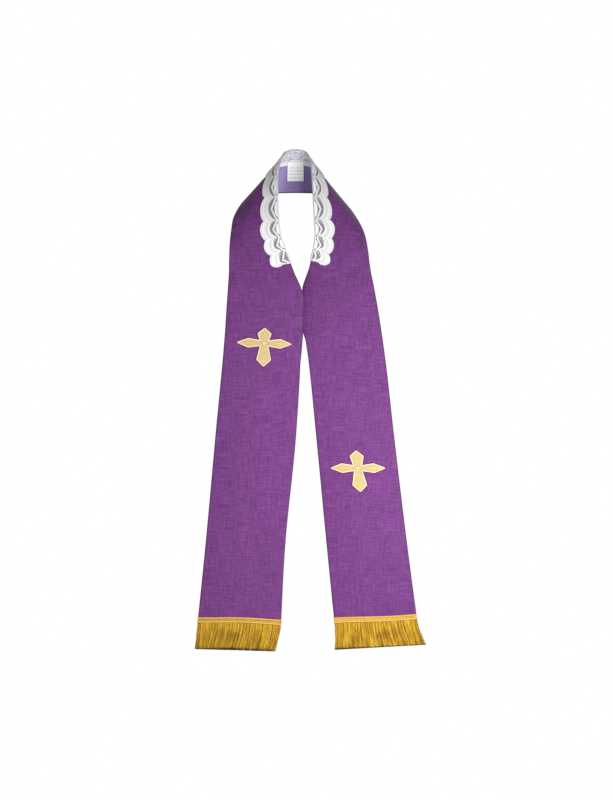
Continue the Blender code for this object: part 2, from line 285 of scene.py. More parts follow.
def drapeByHem(points, side):  # x across from the neck edge, y up from the hem
    hem = hemAt[side]
    along, share = hem - math.copysign(1, hem) * points[:, 1], points[:, 0] / hemWidth(side)
    return onBand(along, share, points[:, 2]), onCut(along, share)


def drapeByPanel(points, side):  # x towards the neck side, y up, both from the middle of the hem
    base, up, towards = hemFrame(side)
    flat = base + points[:, 0:1] * towards + points[:, 1:2] * up
    return drapeByCut(np.column_stack((flat, points[:, 2])))


def startMesh():
    bm = bmesh.new()
    return bm, bm.loops.layers.uv.new("cut")


def layGrid(bm, uvLayer, uCuts, vCuts, shape, slotIndex=0, ownUv=None):
    # shape(u, v) gives flat points, ownUv(u, v) a pattern's own places in mm
    made = bmesh.ops.create_grid(bm, x_segments=uCuts, y_segments=vCuts, size=0.5)["verts"]
    uv = np.array([vert.co[:2] for vert in made]) + 0.5
    points = shape(uv[:, 0], uv[:, 1])
    order = {vert: k for k, vert in enumerate(made)}
    laid = points[:, :2] if ownUv is None else ownUv(uv[:, 0], uv[:, 1])
    for vert, point in zip(made, points):
        vert.co = point
    for face in {face for vert in made for face in vert.link_faces}:
        face.material_index = slotIndex
        face.smooth = True
        for loop in face.loops:
            loop[uvLayer].uv = laid[order[loop.vert]] * mm
    return made


def layTube(bm, uvLayer, path, radius, sides, slotIndex=0, squash=1.0, uvFrom=0.0):
    # a radius of 0 closes an end, and uvFrom sets where round the pattern starts
    path = np.asarray(path, float)
    count = len(path)
    run = np.gradient(path, axis=0)
    run /= np.linalg.norm(run, axis=1, keepdims=True)
    side = np.cross(run, np.array([0.0, 0.0, 1.0]))
    side /= np.linalg.norm(side, axis=1, keepdims=True)
    rise = np.cross(side, run) * squash
    radii = np.broadcast_to(np.asarray(radius, float), (count,))
    length = np.concatenate(([0.0], np.cumsum(np.linalg.norm(np.diff(path, axis=0), axis=1))))

    def shape(u, v):
        k = np.rint(u * (count - 1)).astype(int)
        turn = v * 2 * math.pi
        return (path[k] + side[k] * (np.cos(turn) * radii[k])[:, None]
                + rise[k] * (np.sin(turn) * radii[k])[:, None])

    def around(u, v):
        k = np.rint(u * (count - 1)).astype(int)
        return np.stack((length[k], uvFrom + v * 2 * math.pi * max(radii)), axis=-1)

    layGrid(bm, uvLayer, count - 1, sides, shape, slotIndex, around)


closeEnough, tooShort = 2e-7, 1e-8  # metres


def finishMesh(bm, name, drape, side, materials, nodes, cutUv=False):
    verts = list(bm.verts)
    flat = np.array([vert.co[:] for vert in verts])
    solid, cut = drape(flat, side)
    order = {vert: k for k, vert in enumerate(verts)}
    if cutUv:
        uvLayer = bm.loops.layers.uv["cut"]
        for face in bm.faces:
            for loop in face.loops:
                loop[uvLayer].uv = cut[order[loop.vert]] * mm
    for vert, point in zip(verts, solid):
        vert.co = point * mm
    bmesh.ops.remove_doubles(bm, verts=bm.verts, dist=closeEnough)
    bmesh.ops.dissolve_degenerate(bm, dist=tooShort, edges=bm.edges)
    bmesh.ops.recalc_face_normals(bm, faces=bm.faces)
    mesh = bpy.data.meshes.new(name)
    bm.to_mesh(mesh)
    bm.free()
    for material in materials:
        mesh.materials.append(material)
    piece = bpy.data.objects.new(name, mesh)
    bpy.context.scene.collection.objects.link(piece)
    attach(piece, "root")
    if nodes:
        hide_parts(*nodes)
    return piece


# materials
def plug(tree, made, inputs):  # a socket is linked, anything else is its value
    for key, value in inputs.items():
        if isinstance(value, bpy.types.NodeSocket):
            tree.links.new(value, made.inputs[key])
        else:
            made.inputs[key].default_value = value
    return made


def addNode(tree, kind, inputs=None, **settings):
    made = tree.nodes.new(kind)
    for key, value in settings.items():
        setattr(made, key, value)
    return plug(tree, made, inputs or {})


def calc(tree, operation, a, b=0.0):
    return addNode(tree, "ShaderNodeMath", {0: a, 1: b}, operation=operation).outputs[0]


def blendColour(tree, factor, a, b):
    return addNode(tree, "ShaderNodeMix", {0: factor, 6: a, 7: b}, data_type="RGBA").outputs[2]


def startGroup(name, takes, gives):
    tree = bpy.data.node_groups.new(name, "ShaderNodeTree")
    for label, kind, value in takes:
        socket = tree.interface.new_socket(label, in_out="INPUT", socket_type=kind)
        if value is not None:
            socket.default_value = value
    for label, kind in gives:
        tree.interface.new_socket(label, in_out="OUTPUT", socket_type=kind)
    return tree, tree.nodes.new("NodeGroupInput"), tree.nodes.new("NodeGroupOutput")


def useGroup(tree, group, inputs):
    made = tree.nodes.new("ShaderNodeGroup")
    made.node_tree = group
    return plug(tree, made, inputs)


def streakNoise(tree, coords, scale, detail=3.0):
    stretched = addNode(tree, "ShaderNodeVectorMath", {0: coords, 1: scale}, operation="MULTIPLY")
    noise = {"Vector": stretched.outputs[0], "Scale": 1.0, "Detail": detail, "Roughness": 0.6}
    return addNode(tree, "ShaderNodeTexNoise", noise).outputs["Fac"]


def splitAxes(tree, vector):
    return addNode(tree, "ShaderNodeSeparateXYZ", {0: vector}).outputs


def mapped(tree, value, low, high, toLow=0.0, toHigh=1.0):
    return addNode(tree, "ShaderNodeMapRange",
                   {0: value, 1: low, 2: high, 3: toLow, 4: toHigh}).outputs[0]


def makeWeave():  # crossing threads with thicker slubs
    tree, takes, gives = startGroup(
        "slubWeave",
        (("Cut", "NodeSocketVector", None), ("Threads", "NodeSocketFloat", 1200.0),
         ("Slub", "NodeSocketFloat", 1.0)),
        (("Shade", "NodeSocketFloat"), ("Height", "NodeSocketFloat")))
    cut = takes.outputs["Cut"]
    x, y, _ = splitAxes(tree, cut)
    turns = calc(tree, "MULTIPLY", takes.outputs["Threads"], math.pi)
    warp = calc(tree, "SINE", calc(tree, "MULTIPLY", x, turns))
    weft = calc(tree, "SINE", calc(tree, "MULTIPLY", y, turns))
    over = calc(tree, "MULTIPLY", warp, weft)
    fine = calc(tree, "ADD", streakNoise(tree, cut, (70.0, 1300.0, 1.0)),
                streakNoise(tree, cut, (1300.0, 70.0, 1.0)))
    long = calc(tree, "ADD", streakNoise(tree, cut, (26.0, 640.0, 1.0), 2.0),
                streakNoise(tree, cut, (640.0, 26.0, 1.0), 2.0))
    slub = calc(tree, "ADD", calc(tree, "MULTIPLY", fine, 0.5), calc(tree, "MULTIPLY", long, 0.5))
    slub = calc(tree, "MULTIPLY", calc(tree, "SUBTRACT", slub, 1.0), takes.outputs["Slub"])
    lit = calc(tree, "MULTIPLY", calc(tree, "MAXIMUM", slub, 0.0), 2.2)
    shade = calc(tree, "ADD", calc(tree, "ADD", calc(tree, "MULTIPLY", slub, 1.9), lit),
                 calc(tree, "MULTIPLY", over, 0.07))
    tree.links.new(calc(tree, "ADD", shade, 0.5), gives.inputs["Shade"])
    height = calc(tree, "ADD", calc(tree, "MULTIPLY", slub, 1.2), calc(tree, "MULTIPLY", over, 0.35))
    tree.links.new(height, gives.inputs["Height"])
    return tree


def makeTwist():  # slanting lines round a twisted thread
    tree, takes, gives = startGroup(
        "threadTwist",
        (("Thread", "NodeSocketVector", None), ("Pitch", "NodeSocketFloat", 900.0),
         ("Slant", "NodeSocketFloat", 1.0)),
        (("Shade", "NodeSocketFloat"), ("Height", "NodeSocketFloat")))
    x, y, _ = splitAxes(tree, takes.outputs["Thread"])
    lean = calc(tree, "MULTIPLY", y, takes.outputs["Slant"])
    place = calc(tree, "MULTIPLY", calc(tree, "ADD", x, lean), takes.outputs["Pitch"])
    wave = calc(tree, "SINE", calc(tree, "MULTIPLY", place, 2 * math.pi))
    rough = streakNoise(tree, takes.outputs["Thread"], (180.0, 700.0, 1.0))
    mixed = calc(tree, "ADD", calc(tree, "MULTIPLY", wave, 0.3), calc(tree, "MULTIPLY", rough, 0.8))
    tree.links.new(calc(tree, "ADD", mixed, 0.1), gives.inputs["Shade"])
    tree.links.new(wave, gives.inputs["Height"])
    return tree


weaveGroup, twistGroup = makeWeave(), makeTwist()
print("node groups made")


def startMaterial(name, roughness, **sockets):
    material = bpy.data.materials.new(name)
    material.use_nodes = True
    tree = material.node_tree
    shader = tree.nodes["Principled BSDF"]
    shader.inputs["Roughness"].default_value = roughness
    for key, value in sockets.items():
        shader.inputs[key.replace("_", " ")].default_value = value
    uv = addNode(tree, "ShaderNodeUVMap", uv_map="cut").outputs[0]
    return material, tree, shader, uv


def makePlain(name, roughness, colour):
    material, _, shader, _ = startMaterial(name, roughness)
    shader.inputs["Base Color"].default_value = colour
    return material


def addBump(tree, shader, height, distance, strength):
    bump = addNode(tree, "ShaderNodeBump", {"Height": height, "Distance": distance,
                                            "Strength": strength})
    tree.links.new(bump.outputs[0], shader.inputs["Normal"])


def makeClothMaterial(name, look):
    material, tree, shader, uv = startMaterial(
        name, look["roughness"], Sheen_Weight=look["sheen"], Sheen_Roughness=0.4,
        Specular_IOR_Level=look["gloss"])
    weave = useGroup(tree, weaveGroup, {"Cut": uv, "Threads": look["threads"],
                                        "Slub": look["slub"]})
    tone = mapped(tree, weave.outputs["Shade"], 0.15, 0.85)
    cloud = streakNoise(tree, uv, (14.0, 14.0, 1.0))
    colour = blendColour(tree, tone, look["dark"], look["light"])
    faded = blendColour(tree, calc(tree, "MULTIPLY", cloud, 0.22), colour, look["mid"])
    edge = addNode(tree, "ShaderNodeAttribute", attribute_name="edge").outputs["Fac"]
    paintedEdgeShade = mapped(tree, edge, 0.5, edgeShade, 0.6, 0.0)  # painted shade: darker along the rolled edges, where the cloth turns away from the light
    tree.links.new(blendColour(tree, paintedEdgeShade, faded, look["edge"]), shader.inputs["Base Color"])
    addBump(tree, shader, weave.outputs["Height"], look["relief"], 0.6)
    return material


edgeShade = 2.2  # mm in from an edge, where the painted edge shade has faded out
# each look's edge colour is painted shade along the rolled edges
faceLook = {"dark": (0.079, 0.0128, 0.100, 1), "light": (0.196, 0.0495, 0.238, 1),
            "mid": (0.126, 0.0260, 0.157, 1), "edge": (0.030, 0.005, 0.040, 1),
            "threads": 1300.0, "slub": 1.0, "roughness": 0.78, "sheen": 0.25, "gloss": 0.3,
            "relief": 0.0003}
liningLook = {"dark": (0.185, 0.122, 0.345, 1), "light": (0.265, 0.182, 0.475, 1),
              "mid": (0.225, 0.15, 0.41, 1), "edge": (0.05, 0.03, 0.09, 1),
              "threads": 3200.0, "slub": 0.35, "roughness": 0.42, "sheen": 0.1, "gloss": 0.5,
              "relief": 0.00008}
faceCloth = makeClothMaterial("purpleSlubCloth", faceLook)
liningCloth = makeClothMaterial("violetLining", liningLook)

edgeShares = np.array([0, 0.002, 0.007, 0.014, 0.026])
clothCuts = {"along": 330, "across": 40, "edge": 3.4, "seam": 1.6, "past": 2.6, "dip": 0.07,
             "bandWide": 0.175, "faceTop": 1.35, "faceEdge": -0.55, "faceThick": 0.3,
             "seamGroove": 0.5, "liningBack": -1.15, "liningEdge": -0.75, "liningInset": 1.6,
             "liningThick": 0.25}


def clothHalf(name, side, outside, inside, inset, seam, material, node):
    hem = hemAt[side]
    inner = np.linspace(0.03, 0.97, clothCuts["across"] + 1)[1:-1]
    shares = np.concatenate((edgeShares, inner, 1 - edgeShares[::-1]))
    bm, uvLayer = startMesh()
    edgeLayer = bm.verts.layers.float.new("edge")
    fromEdge = []

    def wall(u, v):
        along = hem * (0.4 * u + 0.6 * u ** 1.3) - math.copysign(clothCuts["past"], hem) * (1 - u)
        share = np.interp(v, np.linspace(0, 1, len(shares)), shares)
        wide = np.linalg.norm(blendBand(along, bandOuter - bandNeck), axis=1)
        near = np.minimum(share, 1 - share) * wide
        near = np.minimum(near, np.abs(hem - along))
        roll = np.sqrt(np.clip(1 - (1 - np.clip(near / clothCuts["edge"], 0, 1)) ** 2, 0, 1))
        fromEdge.extend(near)
        groove = seam * np.exp(-np.abs(along) / clothCuts["seam"])
        share = inset / wide + (1 - 2 * inset / wide) * share
        past = np.maximum(-along * math.copysign(1, hem), 0)
        past = past * math.copysign(clothCuts["dip"], outside)
        return np.column_stack((along, share, inside + (outside - inside) * roll - groove - past))

    laid = layGrid(bm, uvLayer, clothCuts["along"], len(shares) - 1, wall)
    for vert, near in zip(laid, fromEdge):
        vert[edgeLayer] = near
    return finishMesh(bm, name, drapeByBand, side, [material], [node], cutUv=True)


def turnOutwards(piece, way):  # way 1 faces out from the band, -1 faces the wearer
    mesh = piece.data
    probe = mesh.polygons[len(mesh.polygons) // 2]
    centre = np.array(probe.center) / mm
    k = int(np.argmin(np.linalg.norm((bandNeck + bandOuter) / 2 - centre, axis=1)))
    foot, tip = onBand(bandAlong[[k, k]], np.array([0.5, 0.5]), np.array([0.0, 10.0]))
    if np.dot(tip - foot, np.array(probe.normal)) * way < 0:
        mesh.flip_normals()


def thicken(piece, thickness):
    solid = piece.modifiers.new("thickness", "SOLIDIFY")
    solid.thickness = thickness * mm
    solid.offset = -1.0
    solid.use_even_offset = False


for side in ("left", "right"):
    faceName, liningName = "face_" + side + "_cloth", "lining_" + side + "_cloth"
    face = clothHalf(faceName, side, clothCuts["faceTop"], clothCuts["faceEdge"], 0.0,
                     clothCuts["seamGroove"], faceCloth, "face_" + side)
    turnOutwards(face, 1)
    thicken(face, clothCuts["faceThick"])
    lining = clothHalf(liningName, side, clothCuts["liningBack"], clothCuts["liningEdge"],
                       clothCuts["liningInset"], 0.0, liningCloth,
                       "lining_" + side)
    turnOutwards(lining, -1)
    thicken(lining, clothCuts["liningThick"])

# lace collar
laceDips = np.array([-20.0, 20.0, 52.0, 90.0, 134.0, 181.0, 213.0, 239.0, 272.0])
dipReach = ((90.0, 134.0, 181.0, 213.0, 239.0), (23.8, 22.8, 25.6, 28.2, 27.4))
scallopReach = ((70.0, 112.0, 157.0, 197.0, 226.0), (30.0, 29.5, 33.5, 37.0, 37.5))
laceLook = {"inside": 26.5, "high": 1.75, "low": -1.6, "top": 2.2, "netThick": 0.2,
            "leftEnd": 265.5, "rightEnd": 257.0, "droop": 5.0, "probe": 24.0,
            "band": 4.5, "along": 320, "net": (0.27, 0.26, 0.29, 1),
            "netInside": (0.66, 0.62, 0.80, 1), "fold": (0.60, 0.58, 0.63, 1),
            "white": (0.97, 0.96, 0.98, 1), "shade": (0.66, 0.665, 0.64, 1),
            "streak": (0.70, 0.69, 0.70, 1)}


def scallopPhase(length):  # 0 to 1 across the scallop that a length falls in
    size = np.abs(length)
    k = np.clip(np.searchsorted(laceDips, size, side="right") - 1, 0, len(laceDips) - 2)
    return (size - laceDips[k]) / (laceDips[k + 1] - laceDips[k])


def laceEnd(u, y):  # length for u from -1 to 1; the right end hangs lower away from the neck edge
    droop = laceLook["droop"] * np.clip((y - 12) / 10, 0, 1) ** 1.5
    left = laceLook["leftEnd"] - 3.0 * np.exp(-((y - 13) / 6) ** 2)
    return np.where(u < 0, u * left, u * (laceLook["rightEnd"] + droop))


def fromLaceEnd(length, extra=0.0):  # how far a length still is from its end of the lace
    end = np.where(length < 0, laceLook["leftEnd"], laceLook["rightEnd"] + extra)
    return end - np.abs(length)


def laceReach(length):  # how far the scallops go from the neck edge
    size = np.abs(length)
    bow = np.clip(np.sin(math.pi * scallopPhase(length)), 0, 1) ** 0.45
    dip, scallop = np.interp(size, *dipReach), np.interp(size, *scallopReach)
    left = np.clip(fromLaceEnd(length, laceLook["droop"]) / 13.0, 0, 1)
    return (dip + (scallop - dip) * bow) * (0.60 + 0.40 * np.sqrt(1 - (1 - left) ** 2.2))


def laceArc(length):  # inner edge of the solid band
    peak = np.interp(np.abs(length), [80, 150], [14.5, 18.5])
    left = np.clip((fromLaceEnd(length) + 3) / 9.0, 0, 1) ** 0.5
    bow = np.clip(np.sin(math.pi * scallopPhase(length)), 0, 1) ** 0.5
    return laceLook["band"] + (peak - laceLook["band"]) * bow * left


def lacePeak(length):  # the pointed cord inside each scallop
    wave = 1 - np.abs(2 * scallopPhase(length) - 1)
    left = np.clip(fromLaceEnd(length) / 10.0, 0, 1)
    return 3.2 + np.interp(np.abs(length), [80, 150], [6.4, 9.0]) * wave * left


def makeNetMaterial(name, colour, full):
    material, tree, shader, uv = startMaterial(name, 0.85, Specular_IOR_Level=0.2)
    shader.inputs["Base Color"].default_value = colour
    cells = addNode(tree, "ShaderNodeTexVoronoi",
                    {"Vector": uv, "Scale": 520.0, "Randomness": 0.35},
                    feature="DISTANCE_TO_EDGE")
    thread = mapped(tree, cells.outputs["Distance"], full, full + 0.06, 1.0, 0.0)
    tree.links.new(thread, shader.inputs["Alpha"])
    return material


def makeThreadMaterial(name, dark, light, roughness, pitch, slant, relief, **sockets):
    material, tree, shader, uv = startMaterial(name, roughness, **sockets)
    twist = useGroup(tree, twistGroup, {"Thread": uv, "Pitch": pitch, "Slant": slant})
    colour = blendColour(tree, twist.outputs["Shade"], dark, light)
    tree.links.new(colour, shader.inputs["Base Color"])
    addBump(tree, shader, twist.outputs["Height"], relief, 0.5)
    return material


laceThread = makeThreadMaterial("laceThread", (0.70, 0.69, 0.71, 1), (0.95, 0.94, 0.96, 1), 0.8,
                                650.0, 0.8, 0.0002, Specular_IOR_Level=0.25)


def makeLaceBand():  # close stitches: white along the scallops, greyer inside
    material, tree, shader, uv = startMaterial("laceBand", 0.82, Specular_IOR_Level=0.2)
    across = calc(tree, "MULTIPLY", splitAxes(tree, uv)[1], 10.0)
    off = calc(tree, "ABSOLUTE", calc(tree, "SUBTRACT", across, 0.36))
    inner = calc(tree, "MULTIPLY", mapped(tree, off, 0.06, 0.36, 1.0, 0.0), 0.9)
    stitch = streakNoise(tree, uv, (1500.0, 60.0, 1.0))
    plain = blendColour(tree, calc(tree, "MULTIPLY", stitch, 0.4), laceLook["white"],
                        laceLook["streak"])
    colour = blendColour(tree, inner, plain, laceLook["shade"])
    tree.links.new(colour, shader.inputs["Base Color"])
    addBump(tree, shader, stitch, 0.0003, 0.5)
    return material


def laceNet():
    bm, uvLayer = startMesh()
    high, low, inside = (laceLook[key] for key in ("high", "low", "inside"))
    middle, bend = (high + low) / 2, (high - low) / 2

    def outer(u, v):
        reach = laceReach(laceEnd(u * 2 - 1, laceLook["probe"])) - 0.6
        return np.column_stack((laceEnd(u * 2 - 1, reach * v), reach * v, np.full(len(u), high)))

    def fold(u, v):
        turn = v * math.pi
        return np.column_stack((laceEnd(u * 2 - 1, 0.0), -np.sin(turn) * bend * 0.85,
                                middle + bend * np.cos(turn)))

    def inner(u, v):
        return np.column_stack((laceEnd(u * 2 - 1, 0.0), inside * v, np.full(len(u), low)))

    def laid(u, v):
        return np.stack(((u * 2 - 1) * laceLook["leftEnd"], v * 38.0), axis=-1)

    for shape, cuts, slotIndex in ((outer, 10, 0), (fold, 8, 2), (inner, 10, 1)):
        layGrid(bm, uvLayer, laceLook["along"], cuts, shape, slotIndex, laid)
    piece = finishMesh(bm, "lace_net", drapeByNeck, None,
                       [makeNetMaterial("laceNet", laceLook["net"], 0.26),
                        makeNetMaterial("laceNetInside", laceLook["netInside"], 0.20),
                        makeNetMaterial("laceFold", laceLook["fold"], 0.9)],
                       ["lace_collar"])
    thicken(piece, laceLook["netThick"])
    return piece


def cordOn(bm, uvLayer, lengths, across, height, radius, slotIndex=0, squash=0.8):
    radii = np.full(len(lengths), radius)
    radii[0] = radii[-1] = 0.0
    path = np.column_stack((lengths, across, np.full(len(lengths), height)))
    layTube(bm, uvLayer, path, radii, 7, slotIndex, squash)


lastLeaf, lastStroke = 250, 240  # mm along the neck edge


def laceWork():
    bm, uvLayer = startMesh()
    low, top, probe = laceLook["low"], laceLook["top"], laceLook["probe"]
    ends = np.array([-laceLook["leftEnd"], laceLook["rightEnd"]])
    every = np.linspace(ends[0], ends[1], 640)
    rim = laceEnd(np.linspace(-1, 1, 640), probe)

    def band(u, v):
        base = laceEnd(u * 2 - 1, probe)
        inner, outer = laceArc(base), laceReach(base) - 0.8
        y = inner + (outer - inner) * v
        ridge = 0.14 * np.sin(v * 14) + 0.10 * np.sin(base * 2.1)
        return np.column_stack((laceEnd(u * 2 - 1, y), y, top + ridge * np.sin(math.pi * v)))

    def bandUv(u, v):
        return np.stack(((u * 2 - 1) * laceLook["leftEnd"], v * 100.0), axis=-1)

    layGrid(bm, uvLayer, 560, 12, band, 1, bandUv)
    for lengths, across, height, radius, squash in (
            (rim, laceReach(rim) - 1.2, 0.1, 1.3, 0.7),  # the two cords along the scallops
            (rim, laceReach(rim) - 4.4, 0.05, 1.1, 0.5),
            (every, laceArc(every), 0.05, 0.55, 0.8),  # inside the solid band
            (every, lacePeak(every), 0.0, 2.0, 0.42),  # the pointed cord
            (every, np.full(len(every), 0.6), 0.0, 0.9, 0.8)):  # along the neck edge
        cordOn(bm, uvLayer, lengths, across, top + height, radius, 0, squash)
    for end in (-1.0, 1.0):  # bound ends
        edge = np.full(26, end)
        rise = np.linspace(0.4, float(laceReach(laceEnd(edge[:1], probe))[0]) - 0.8, 26)
        cordOn(bm, uvLayer, laceEnd(edge, rise), rise, top + 0.05, 1.1)
    middles = np.concatenate(([0.0], (laceDips[2:] + laceDips[1:-1]) / 2))
    pitches = np.concatenate(([2 * laceDips[1]], np.diff(laceDips[1:])))
    for way in (-1, 1):
        for middle, pitch in zip(middles, pitches):
            base = middle * way
            if way > 0 and middle == 0:
                continue

            def leaf(u, v, base=base, pitch=pitch):
                t = (u * 2 - 1) * 0.34
                wide = 5.4 * np.sqrt(np.clip(1 - (t / 0.34) ** 2, 0, 1)) * (1 + 0.14 * np.cos(t * 62))
                return np.column_stack((base + t * pitch, 0.9 + wide * v,
                                        top + np.sin(math.pi * v) * 0.35))

            if middle < lastLeaf:
                layGrid(bm, uvLayer, 20, 6, leaf, 2, lambda u, v: np.stack((u * 20, v * 30), axis=-1))
            if middle > lastStroke:
                continue
            turn = np.linspace(0, 1, 22)
            peak = (1 - np.abs(2 * turn - 1)) ** 1.1
            for lengths, across, height, radius in (  # inside the neck: strokes and a leaf
                    (base + (turn - 0.5) * pitch, 4 + 13 * peak, -0.35, 1.7),
                    (base + (turn - 0.5) * pitch * 0.46, 3 + 6.5 * np.sin(math.pi * turn), -0.3, 1.7),
                    (base + pitch * (0.5 + 0.10 * np.sin(2 * math.pi * turn)), 7 + 10 * turn, -0.3,
                     1.6)):
                cordOn(bm, uvLayer, lengths, across, low + height, radius, 0, 0.5)
    cordOn(bm, uvLayer, every, 1.6 + 0.8 * np.sin(every / 3.1), low - 0.3, 1.1)
    cordOn(bm, uvLayer, every, np.full(len(every), 18.8), low - 0.25, 0.9)

    def hemTape(u, v):  # the smooth border along the inside edge
        length = ends[0] + (ends[1] - ends[0]) * u
        return np.column_stack((length, 19.4 + 7.1 * v, low - 0.35 - 0.3 * np.sin(math.pi * v)))

    layGrid(bm, uvLayer, 280, 5, hemTape, 3, lambda u, v: np.stack((u * 540, v * 7.2), axis=-1))
    tape = makeThreadMaterial("laceTape", (0.74, 0.70, 0.82, 1), (0.90, 0.87, 0.95, 1), 0.6, 300.0,
                              0.0, 0.0001, Sheen_Weight=0.2)
    leafThread = makeThreadMaterial("laceLeaf", (0.78, 0.77, 0.79, 1), (0.96, 0.95, 0.97, 1), 0.8,
                                    300.0, 0.0, 0.0002)
    materials = [laceThread, makeLaceBand(), leafThread, tape]
    return finishMesh(bm, "lace_work", drapeByNeck, None, materials, [])


net = laceNet()
work = laceWork()
print("lace collar made")

# crosses
crossLook = {"gold": ((0.40, 0.23, 0.035, 1), (0.95, 0.77, 0.42, 1)),
             "rim": ((0.84, 0.56, 0.33, 1), (0.95, 0.80, 0.64, 1)),
             "shadow": (0.07, 0.012, 0.04, 1), "shadeStrip": (0.60, 0.44, 0.11, 1),
             "arm": 51.4, "armWidest": 21.0, "pad": 0.10, "rimRadius": 1.2,
             "padHigh": 1.62, "shadeStripHigh": 2.5, "shadeStripFrom": 0.14, "shadeStripTo": 0.93, "shadeStripWide": 0.24}
crossGold = makeThreadMaterial("crossGold", *crossLook["gold"], 0.42, 46.0, 30.0, 0.0006,
                               Sheen_Weight=0.3)
crossRim = makeThreadMaterial("crossRim", *crossLook["rim"], 0.45, 900.0, 0.5, 0.0002,
                              Sheen_Weight=0.2)
crossShadow = makePlain("crossShadow", 0.8, crossLook["shadow"])
# painted shade: a darker gold strip down the middle of each cross arm
crossMidlineShade = makePlain("paintedMidlineShade", 0.4, crossLook["shadeStrip"])


def crossOutline(top, foot, grow):
    arm, widest, crook = crossLook["arm"], crossLook["arm"] - crossLook["armWidest"], grow * 0.7
    ring = [(0, top + grow), (12.4 + grow, top - 10.2), (7.6 + crook, 4.6 + crook),
            (widest, 8.2 + grow), (arm + grow, 0), (widest, -8.2 - grow),
            (7.0 + crook, -4.6 - crook), (13.0 + grow, 12.2 - foot), (0, -foot - grow)]
    loop = ring + [(-x, y) for x, y in ring[-2:0:-1]]
    loop = np.array(loop + loop[:1], float)
    return np.concatenate([loop[i] + (loop[i + 1] - loop[i]) * np.linspace(0, 1, 9)[:-1, None]
                           for i in range(len(loop) - 1)] + [loop[-1:]])


def makeCross(side, rise, shift, upright, level, top, foot):
    bm, uvLayer = startMesh()
    upright, level = math.radians(upright), math.radians(level)

    def place(points):
        x = points[:, 0] * math.cos(level) - points[:, 1] * math.sin(upright)
        y = points[:, 0] * math.sin(level) + points[:, 1] * math.cos(upright)
        return np.column_stack((x + shift, y + rise, points[:, 2]))

    arm, widest = crossLook["arm"], crossLook["arm"] - crossLook["armWidest"]
    for spin, tip, wideAt, half, root in (
            (0, top, top - 10.2, 12.2, 7.4), (180, foot, foot - 12.2, 12.8, 6.8),
            (90, arm, widest, 8.0, 4.4), (-90, arm, widest, 8.0, 4.4)):
        angle = math.radians(spin)
        pad = np.concatenate(([-1.0], np.linspace(0.0, tip, 26)))
        padRadii = np.interp(pad, [-1.0, -0.999, wideAt, tip], [0.0, root, half, 0.0])
        # the painted shade strip down the middle of the arm
        start, end = tip * crossLook["shadeStripFrom"], tip * crossLook["shadeStripTo"]
        shadeStrip = np.linspace(start, end, 12)
        shadeStripRadii = crossLook["shadeStripWide"] * np.interp(shadeStrip, [start, wideAt, end], [0.0, half, 0.0])
        for r, radii, high, slotIndex in ((pad, padRadii, crossLook["padHigh"], 0),
                                          (shadeStrip, shadeStripRadii, crossLook["shadeStripHigh"], 3)):
            radii[0] = radii[-1] = 0.0
            path = np.column_stack((-r * math.sin(angle), r * math.cos(angle), np.full(len(r), high)))
            layTube(bm, uvLayer, place(path), radii, 24, slotIndex, crossLook["pad"])
    for grow, radius, high, slotIndex, squash in ((0.0, crossLook["rimRadius"], 1.85, 1, 0.8),
                                                  (1.9, 1.1, 1.4, 2, 0.5)):
        edge = crossOutline(top, foot, grow)
        path = np.column_stack((edge, np.full(len(edge), high)))
        layTube(bm, uvLayer, place(path), radius, 7, slotIndex, squash)
    knot = np.linspace(0, 1, 14)
    for dx, dy in ((3.4, 3.0), (-3.4, 3.0)):  # the crossing threads at the middle
        path = np.column_stack(((2 * knot - 1) * dx, (2 * knot - 1) * dy,
                                2.5 + 0.5 * np.sin(math.pi * knot)))
        layTube(bm, uvLayer, place(path), 1.0 * np.sin(math.pi * knot), 8, 1, 0.5)
    return finishMesh(bm, "cross_" + side + "_stitched", drapeByPanel, side,
                      [crossGold, crossRim, crossShadow, crossMidlineShade],
                      ["cross_" + side])


makeCross("left", rise=535, shift=0.6, upright=2.9, level=2.9, top=28.4, foot=43.4)
makeCross("right", rise=294, shift=1.4, upright=0, level=6.4, top=33.0, foot=44.7)
print("crosses made")

# braid and fringe
braidLook = {"cord": ((0.56, 0.30, 0.03, 1), (0.96, 0.70, 0.19, 1)),
             "middle": ((0.34, 0.17, 0.012, 1), (0.74, 0.42, 0.045, 1)),
             "tall": 11.5, "high": 2.6, "ply": 0.80, "strand": 1.0, "pitch": 4.6, "rib": 2.4}
fringeLook = {"dark": (0.19, 0.085, 0.002, 1), "light": (0.88, 0.54, 0.036, 1),
              "tip": (0.05, 0.03, 0.004, 1), "tipFrom": 0.0475, "tipFull": 0.0515,
              "strands": 225, "layers": 4, "apart": 0.75, "radius": 0.54, "drop": 50.0}
braidCord = makeThreadMaterial("braidCord", *braidLook["cord"], 0.4, 500.0, 1.0, 0.0002,
                               Metallic=0.1)
braidMiddle = makeThreadMaterial("braidMiddle", *braidLook["middle"], 0.4, 450.0, 0.4, 0.0003,
                                 Metallic=0.25)


